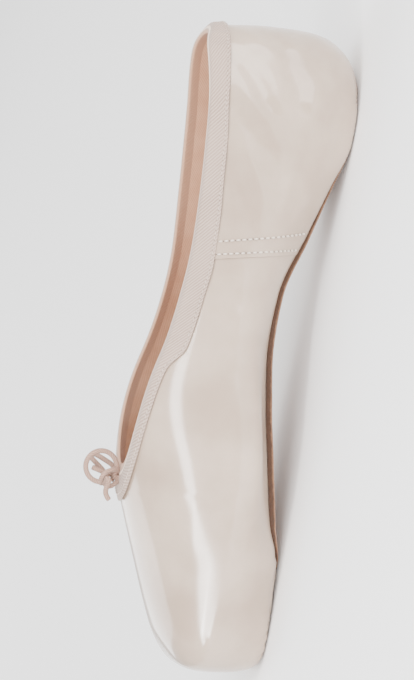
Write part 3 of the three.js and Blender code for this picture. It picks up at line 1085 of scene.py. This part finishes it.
@dataclass
class Satin:
    """The satin skin: quarters round the heel that lap over the vamp at the side seams."""

    seam_at: float = 81.2
    seam_lean: float = 0.221
    seam_foot: float = 13.2
    seam_middle: float = 84.0
    lap: float = 0.45
    stitch_dip: float = 0.14
    vamp_dip: float = 0.12
    calm_from: float = 95.0
    calm_over: float = 25.0
    fold_toward: float = 28.0
    quarter_rings: int = 96
    vamp_rings: int = 176
    under: float = 4.0
    columns_flat: int = 34
    columns_side: int = 84

    def seam_step(self, angle: np.ndarray, shift: float = 0.0) -> np.ndarray:
        """Step of the side seam at each angle, moved toward the toe by a shift."""
        height = form_point(step_of(self.seam_middle), angle)[..., 2]
        return step_of(self.seam_at + self.seam_lean * (height - self.seam_foot) + shift)

    def ripples(self, at: np.ndarray, z: np.ndarray, sign: int) -> np.ndarray:
        """Slight waves of the cloth, which is drawn smooth toward the toe.

        Args:
            at: Stations.
            z: Heights.
            sign: 1 on the left side and -1 on the right.

        Returns:
            Depth at each point.
        """
        waves = 0.12 * np.sin(at * 0.31 + sign * 1.3) * np.sin(z * 0.27 + at * 0.05)
        waves += 0.07 * np.sin(at * 0.73 + z * 0.41 + sign)
        return waves * (1 - ease((at - self.calm_from) / self.calm_over))

    def skin(self, step: np.ndarray, angle: np.ndarray, flat_share: np.ndarray,
             raise_by: np.ndarray) -> np.ndarray:
        """The outer surface of both sides with its creases and pleats.

        Args:
            step: Grid of steps.
            angle: Grid of angles.
            flat_share: Share of the flat that each point keeps, 1 at its edge and 0 on the middle line.
            raise_by: How far the cloth stands over the form.

        Returns:
            Grid over both sides.
        """
        sides = []
        for sign in (-1, 1):
            plain = form_point(step, angle)
            plain[..., 1] *= flat_share * sign
            dent = sum(crease.trough(plain) for crease in CREASES)
            at, z = plain[..., 0], plain[..., 2]
            body = ease((z - UNDERSIDE(at) - 4) / 8) * ease((at + 2) / 8)
            side = (dent + self.ripples(at, z, sign)) * body - raise_by
            lift = sum(pleats.depth(plain) for pleats in PLEATS)
            shaped = form_point(step, angle, side, lift)
            shaped[..., 1] *= flat_share * sign
            sides.append(shaped)
        return np.concatenate([sides[0][:, :0:-1], sides[1]], axis=1)

    def grid(self, rings: int, from_step: Line, to_step: Line, raise_by: Callable) -> tuple:
        """A panel's points and its cloth coordinates.

        Args:
            rings: Number of rings round the shoe.
            from_step: Step of its first ring at each angle.
            to_step: Step of its last ring at each angle.
            raise_by: How far it stands over the form, from its steps and angles.

        Returns:
            Points and cloth coordinates.
        """
        share = np.linspace(0, 1, rings)
        around = np.concatenate([np.zeros(self.columns_flat), np.linspace(0, 1, self.columns_side) ** 0.9])
        flat = np.linspace(0, 1, self.columns_flat, endpoint=False)
        flat_share = np.concatenate([flat, np.ones(self.columns_side)])
        # The seam leans, so where a ring meets the collar is found in a few passes.
        near_collar = np.full(1, 2.0)
        step = mix(from_step(near_collar), to_step(near_collar), share)
        for _ in range(3):
            top = angle_on(step, lambda at: EDGE(at) - 1.0)
            step = mix(from_step(top), to_step(top), share)
        angle = top[:, None] * around[None, :]
        steps = mix(from_step(angle), to_step(angle), share[:, None])
        points = self.skin(steps, angle, flat_share, raise_by(steps, angle))
        along = np.broadcast_to(travelled(points, 0).mean(axis=1, keepdims=True), points.shape[:2])
        across = travelled(points, 1)
        across = across - across[:, across.shape[1] // 2][:, None]
        return points, np.stack([along, across], axis=-1)

    def build(self, palette: Palette) -> None:
        """Builds the quarters and the vamp."""
        def heel_back(angle: np.ndarray) -> np.ndarray:
            """The step at the heel's back, at every angle."""
            return np.full_like(angle, -1.0)

        def toe_tip(angle: np.ndarray) -> np.ndarray:
            """The step at the toe's tip, at every angle."""
            return np.full_like(angle, 2.0)

        def vamp_start(angle: np.ndarray) -> np.ndarray:
            """The vamp's first step, a little way under the quarters."""
            return self.seam_step(angle, -self.under)

        def quarter_raise(steps: np.ndarray, angle: np.ndarray) -> np.ndarray:
            """The quarters rise to lap over the vamp and dip along their two rows of stitches."""
            behind = (self.seam_step(angle) - steps) * (TOE_CAP - HEEL_CAP)
            rows = sum(np.exp(-(((behind - seam_row(*ends, angle)) / 0.9) ** 2)) for ends in SEAM_ROWS)
            return self.lap * (1 - ease((behind - 6) / 9)) - self.stitch_dip * rows * (angle > 0)

        def vamp_raise(steps: np.ndarray, angle: np.ndarray) -> np.ndarray:
            """The vamp lies plain, a little low where it passes under the quarters."""
            ahead = (steps - self.seam_step(angle)) * (TOE_CAP - HEEL_CAP)
            return -self.vamp_dip * (1 - ease(ahead / 2.5))

        points, uvs = self.grid(self.quarter_rings, heel_back, self.seam_step, quarter_raise)
        place(cloth("satin_quarters", points, uvs, palette.satin, flip=True), Slot.SATIN, "upper")
        self.fold_edge(points[-1], palette)
        points, uvs = self.grid(self.vamp_rings, vamp_start, toe_tip, vamp_raise)
        place(cloth("satin_vamp", points, uvs, palette.satin, flip=True), Slot.SATIN)

    def fold_edge(self, edge: np.ndarray, palette: Palette) -> None:
        """Turns the quarters' front edge under, down to the vamp.

        Args:
            edge: The quarters' last ring.
            palette: The finishes.
        """
        middle = np.array([edge[:, 0].mean(), 0, self.fold_toward])
        inward = middle - edge
        inward[:, 0] = 0
        inward /= np.maximum(np.linalg.norm(inward, axis=1, keepdims=True), 1e-6)
        rows = np.stack([edge, edge + inward * 0.15 + [0.16, 0, 0], edge + inward * 0.5 + [0.1, 0, 0]])
        uvs = np.stack([travelled(rows, 0), travelled(rows, 1)], axis=-1)
        place(cloth("satin_quarter_fold", rows, uvs, palette.satin, flip=True), Slot.SATIN)


@dataclass
class Binding:
    """Ribbed tape folded over the collar, from outside its stitched edge to inside the shoe."""

    tape: float = 0.7
    turn: float = 4.0
    roundness: float = 0.9
    points_along: int = 190
    lap_depths: tuple = (0.02, 0.6, 0.92)
    side_rows: int = 12
    bend_rows: int = 9
    inner_rows: int = 6
    stitched_above: float = 1.1

    @property
    def fold_row(self) -> int:
        """Number of the row at the middle of the bend, on the collar's edge."""
        return len(self.lap_depths) + self.side_rows + self.bend_rows // 2

    def outside(self, step: np.ndarray) -> np.ndarray:
        """Inset of the tape's outer face, with small puckers that grow toward the heel."""
        back = 1 - ease((step + 1) / 1.2)
        pucker = np.sin(step * 61) * np.sin(step * 23 + 0.6)
        return -(GAP + self.tape) - pucker * (0.05 + 0.12 * back)

    def rows(self) -> list:
        """Height line and inset of each row across the tape, from its outer edge to its inner one."""
        rows = []
        stand = GAP + self.tape
        for depth in self.lap_depths:
            rows.append((lambda at, d=depth: STITCHED(at) - 0.05 + 0.12 * d,
                         lambda step, d=depth: self.outside(step) * d))
        for share in np.linspace(0.06, 1, self.side_rows):
            rows.append((lambda at, s=share: mix(STITCHED(at), EDGE(at) - self.roundness, s), self.outside))
        for bend in np.linspace(0, math.pi, self.bend_rows + 2)[1:-1]:
            rows.append((
                lambda at, b=bend: EDGE(at) - self.roundness * (1 - math.sin(b)),
                lambda step, b=bend: mix(self.outside(step), wall_of(step) + stand, (1 - math.cos(b)) / 2),
            ))
        for share in np.linspace(0, 1, self.inner_rows):
            rows.append((lambda at, s=share: EDGE(at) - mix(self.roundness, self.turn, s),
                         lambda step, s=share: wall_of(step) + mix(stand, 0.2, s)))
        return rows

    def build(self, palette: Palette) -> None:
        """Builds the tape and its rows of stitches."""
        left = np.stack([rail(line, side, self.points_along) for line, side in self.rows()])
        grid = np.concatenate([left[:, ::-1] * MIRROR, left[:, 1:]], axis=1)
        across = travelled(grid, 0)
        across = across - across[self.fold_row]
        along = np.broadcast_to(travelled(grid[self.fold_row][None], 1), across.shape)
        piece = cloth("collar_tape", grid, np.stack([along, across], axis=-1), palette.tape)
        place(piece, Slot.TAPE, "binding")
        self.build_stitches(palette)

    def build_stitches(self, palette: Palette) -> None:
        """A row of small stitches just inside the tape's outer edge, with painted shade in each needle hole,
        and a dark thread line along the edge as its painted shadow.
        """
        stitches, line = Tubes(), Tubes()

        def row(at: np.ndarray) -> np.ndarray:
            """Height of the stitches, above the tape's outer edge."""
            return STITCHED(at) + self.stitched_above

        low = rail(row, lambda step: self.outside(step) + 0.1, 900)
        high = rail(row, lambda step: self.outside(step) - 0.16, 900)
        lay_stitches(stitches, line, low, high, length=0.95, pitch=1.8, radius=0.18)
        # The dark line along the tape's outer edge is a painted shadow, laid as a thin dark thread.
        edge = rail(lambda at: STITCHED(at) - 0.1, lambda step: np.full_like(step, -0.08), 260)
        for sign in (1, -1):
            line.add(edge * np.array([1, sign, 1]), np.full(len(edge), 0.16))
        place(stitches.build("tape_stitches", palette.tape_thread), Slot.TAPE)
        place(line.build("tape_edge_shadow", palette.shade_thread), Slot.TAPE)


def lay_stitches(tubes: Tubes, hole_shade: Tubes, low: np.ndarray, high: np.ndarray, length: float, pitch: float,
                 radius: float) -> None:
    """Lays a row of stitches on both sides of the shoe, with a dark bit of thread between each two as painted
    shade in the needle hole.

    Args:
        tubes: Where the stitches are gathered.
        hole_shade: Where the dark threads of painted shade, one in each needle hole, are gathered.
        low: Line of the row under the cloth's face.
        high: The same line a little above it.
        length: Length of a stitch.
        pitch: Distance from one stitch to the next.
        radius: Radius of the thread.
    """
    distance = travelled(low, 0)
    shape = np.array([0.0, 0.2, 0.5, 0.8, 1.0])
    arch = np.array([0.0, 0.8, 1.0, 0.8, 0.0])
    thick = radius * np.array([0.55, 0.95, 1.0, 0.95, 0.55])

    def points_at(marks: np.ndarray, line: np.ndarray) -> np.ndarray:
        """Points of a line at distances along the row."""
        return np.stack([np.interp(marks, distance, line[:, i]) for i in range(3)], axis=1)

    start = pitch / 2
    while start + length < distance[-1]:
        marks = start + shape * length
        base, over = points_at(marks, low), points_at(marks, high)
        path = mix(base, over, arch[:, None])
        # A short dark thread in the gap is painted shade in the needle hole.
        gap = start + length + (pitch - length) * np.array([0.3, 0.5, 0.7])
        hole = points_at(gap, low) + 0.25 * (over[2] - base[2])
        for sign in (1, -1):
            tubes.add(path * np.array([1, sign, 1]), thick)
            hole_shade.add(hole * np.array([1, sign, 1]), radius * np.array([0.4, 0.8, 0.4]))
        start += pitch


@dataclass
class SeamStitches:
    """Two rows of cream stitches down each side seam."""

    length: float = 1.2
    pitch: float = 2.15
    radius: float = 0.38

    def build(self, satin: Satin, palette: Palette) -> None:
        """Builds the rows on both sides."""
        tubes, hole_shade = Tubes(), Tubes()
        angle = np.linspace(SEAM_ROW_START, 2.4, 500)
        for at_sole, at_collar in SEAM_ROWS:
            step = satin.seam_step(angle, -seam_row(at_sole, at_collar, angle))
            plain = form_point(step, angle)
            shown = plain[:, 2] < STITCHED(plain[:, 0]) - 0.3
            step, angles = step[shown], angle[shown]
            low = form_point(step, angles, -satin.lap + 0.16)
            high = form_point(step, angles, -satin.lap - 0.3)
            lay_stitches(tubes, hole_shade, low, high, self.length, self.pitch, self.radius)
        place(tubes.build("seam_stitches", palette.thread), Slot.SATIN)
        # The dark bits between the stitches are painted shade in each needle hole.
        place(hole_shade.build("seam_hole_shade", palette.shade_thread), Slot.SATIN)


@dataclass
class Lining:
    """Drill lining inside the wall, from the insole to the collar."""

    rings: int = 150
    columns: int = 60
    last_step: float = 1.75

    def build(self, palette: Palette) -> None:
        """Builds the lining."""
        step = np.linspace(-1, self.last_step, self.rings)
        side = wall_of(step)
        top = angle_on(step, lambda at: EDGE(at) - 1.0, side, TURNED_EDGE)
        angle = top[:, None] * np.linspace(0, 1, self.columns)[None, :]
        left = form_point(step[:, None], angle, side[:, None], TURNED_EDGE)
        centre = left[:, :1] * np.array([1, 0, 1])
        grid = both_sides(np.concatenate([centre, left], axis=1))
        along = np.broadcast_to(travelled(grid, 0).mean(axis=1, keepdims=True), grid.shape[:2])
        uvs = np.stack([along, travelled(grid, 1)], axis=-1)
        place(cloth("lining", grid, uvs, palette.lining), Slot.LINING)


@dataclass
class Insole:
    """The sock-covered board that the foot stands on."""

    rings: int = 90
    columns: int = 18
    first_step: float = -0.985
    last_step: float = 1.5
    rounding: float = 0.5
    side_height: float = 1.3

    def build(self, palette: Palette) -> None:
        """Builds the insole with a rounded edge."""
        step = np.linspace(self.first_step, self.last_step, self.rings)
        inset = wall_of(step) + GAP

        def floor(at: np.ndarray) -> np.ndarray:
            """Height of the insole's top."""
            return UNDERSIDE(at) + LIFT(at) + TURNED_EDGE + GAP + INSOLE_THICKNESS

        angle = angle_on(step, floor, inset, TURNED_EDGE + GAP)
        edge = form_point(step, angle, inset, TURNED_EDGE + GAP)
        edge[:, 0] = np.minimum(edge[:, 0], INSOLE_END)
        share = np.sin(np.linspace(-math.pi / 2, math.pi / 2, self.columns))
        grid = np.repeat(edge[:, None], self.columns, axis=1)
        grid[..., 1] *= share
        grid[..., 2] -= self.rounding * np.abs(share) ** 8
        skirt = grid[:, [0, -1]] - np.array([0, 0, self.side_height])
        grid = np.concatenate([skirt[:, :1], grid, skirt[:, 1:]], axis=1)
        uvs = grid[..., :2].copy()
        place(cloth("insole_sock", grid, uvs, palette.sock), Slot.LINING, "insole")


@dataclass
class Outsole:
    """Suede outsole with painted shade along the top of its edge and a rubbed lower corner."""

    rings: int = 170
    flare: float = 1.2
    flare_at: float = 46.0
    flare_reach: float = 14.0

    def build(self, palette: Palette) -> None:
        """Builds the outsole, a little wider where its heel part ends."""
        at = mix(SOLE_HEEL_END, SOLE_TOE_END, (1 - np.cos(np.linspace(0, math.pi, self.rings))) / 2)
        half = outline_half(at) + self.flare * np.exp(-(((at - self.flare_at) / self.flare_reach) ** 2))
        half[[0, -1]] = 0
        base, top = UNDERSIDE(at), UNDERSIDE(at) + SOLE_THICKNESS(at)
        rub = 0.10 * np.sin(at * 1.9) * np.sin(at * 0.83 + 1) + 0.06 * np.sin(at * 4.7)
        rub = rub * np.minimum(half / 4, 1)
        # Share of the half width, inset and level of each corner of a section, from the top's middle round.
        section = (
            (0.0, 0.0, 1.0), (0.5, 0.0, 1.0), (1.0, -0.35, 1.0), (1.0, -0.05, 0.9), (1.0, 0.0, 0.72),
            (1.0, 0.0, 0.45), (1.0, -0.02, 0.26), (1.0, -0.22, 0.08), (1.0, -0.7, 0.0), (0.5, 0.0, 0.0),
            (0.0, 0.0, 0.0),
        )
        columns = []
        for share, inset, level in section:
            y = np.maximum(half * share + inset * np.minimum(half / 3, 1) + rub * (share == 1.0), 0)
            columns.append(np.stack([at, y, mix(base, top, level)], axis=-1))
        left = np.stack(columns, axis=1)
        right = (left * MIRROR)[:, ::-1]
        grid = np.concatenate([left, right[:, 1:]], axis=1)
        levels = np.array([0, 0, 0, 0.0, 0.6, 1.1, 1.5, 2.2, 3, 9, 20])
        levels = np.concatenate([levels, levels[::-1][1:]])
        uvs = np.stack(np.broadcast_arrays(at[:, None], levels[None, :]), axis=-1)
        place(cloth("suede_outsole", grid, uvs, palette.suede), Slot.LEATHER, "outsole")


# ---------------------------------------------------------------- camera, floor and light


@dataclass(frozen=True)
class View:
    """A long lens on the shoe's left side, rolled so that the toe points down."""

    target: tuple = (-0.001, 0.0, 0.0376)
    distance: float = 1.4
    elevation: float = 12.0
    lean: float = 0.172
    lens: float = 202.6

    def axes(self) -> tuple:
        """Directions to the camera's right, up and back."""
        tilt = math.radians(self.elevation)
        back = Vector((0, math.cos(tilt), math.sin(tilt)))
        height = Vector((0, -math.sin(tilt), math.cos(tilt)))
        long = Vector((1, 0, 0))
        upright = math.sqrt(1 - self.lean ** 2)
        right = -self.lean * long - upright * height
        up = -upright * long + self.lean * height
        return right, up, back

    def build(self) -> None:
        """Builds the camera and makes it the scene's."""
        right, up, back = self.axes()
        data = bpy.data.cameras.new("camera")
        data.lens = self.lens
        data.sensor_fit = "VERTICAL"
        data.sensor_height = 36
        data.clip_end = 50
        camera = bpy.data.objects.new("camera", data)
        turn = Matrix((right, up, back)).transposed().to_4x4()
        camera.matrix_world = Matrix.Translation(Vector(self.target) + back * self.distance) @ turn
        bpy.context.scene.collection.objects.link(camera)
        bpy.context.scene.camera = camera


@dataclass(frozen=True)
class Softbox:
    """An area light that faces the shoe."""

    name: str
    direction: tuple
    distance: float
    width: float
    height: float
    power: float
    long_axis: tuple = (1, 0, 0)

    def build(self, target: Vector) -> None:
        """Places the light."""
        toward = Vector(self.direction).normalized()
        data = bpy.data.lights.new(self.name, "AREA")
        data.shape = "RECTANGLE"
        data.size, data.size_y = self.width, self.height
        data.energy = self.power
        light = bpy.data.objects.new(self.name, data)
        long = Vector(self.long_axis)
        long = (long - toward * long.dot(toward)).normalized()
        turn = Matrix((long, toward.cross(long), toward)).transposed().to_4x4()
        light.matrix_world = Matrix.Translation(target + toward * self.distance) @ turn
        bpy.context.scene.collection.objects.link(light)


@dataclass
class Studio:
    """Pale floor, even sky and soft lights."""

    floor_half: float = 3.0
    sky: float = 1.1
    lit_point: tuple = (0.05, 0.0, 0.035)

    def build(self) -> None:
        """Builds the floor, the sky and the lights."""
        mesh = bpy.data.meshes.new("floor")
        reach = self.floor_half
        corners = [(-reach, -reach, 0), (reach, -reach, 0), (reach, reach, 0), (-reach, reach, 0)]
        mesh.from_pydata(corners, [], [(0, 1, 2, 3)])
        material = bpy.data.materials.new("floor")
        material.use_nodes = True
        shader = material.node_tree.nodes["Principled BSDF"]
        shader.inputs["Base Color"].default_value = (0.98, 0.98, 0.98, 1)
        shader.inputs["Roughness"].default_value = 1.0
        shader.inputs["Specular IOR Level"].default_value = 0.0
        mesh.materials.append(material)
        floor = bpy.data.objects.new("floor", mesh)
        bpy.context.scene.collection.objects.link(floor)
        world = bpy.data.worlds.new("sky")
        world.use_nodes = True
        world.node_tree.nodes["Background"].inputs["Color"].default_value = (1, 1, 1, 1)
        world.node_tree.nodes["Background"].inputs["Strength"].default_value = self.sky
        bpy.context.scene.world = world
        for light in (
            Softbox("overhead", (-0.3, 0.1, 1.0), 1.2, 1.2, 1.2, 3.0),
            Softbox("upright_strip", (0.415, 0.735, 0.32), 0.9, 0.7, 0.1, 6.5, (0.0, 0.0, 1.0)),
            Softbox("leaning_strip", (0.01, 0.605, 0.669), 0.9, 0.63, 0.12, 5.7, (-0.99, -0.1, 0.08)),
            Softbox("toe_strip", (0.514, 0.716, 0.258), 0.92, 0.28, 0.11, 2.4, (0.637, 0.066, -0.767)),
            Softbox("heel_fill", (-0.9, 0.7, 0.25), 1.4, 1.6, 1.4, 44.0),
            Softbox("far_side", (0.33, -0.66, 0.6), 1.1, 0.55, 1.2, 11.0),
        ):
            light.build(Vector(self.lit_point))


def main() -> None:
    """Builds the looks of the shoe around its frame."""
    logging.basicConfig(level=logging.INFO, format="%(name)s %(message)s")
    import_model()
    View().build()
    palette = make_palette()
    Drawstring().build(palette)
    satin = Satin()
    satin.build(palette)
    SeamStitches().build(satin, palette)
    Binding().build(palette)
    Lining().build(palette)
    Insole().build(palette)
    Outsole().build(palette)
    Studio().build()
    bpy.context.view_layer.update()
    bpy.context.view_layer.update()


if __name__ == "__main__":
    main()
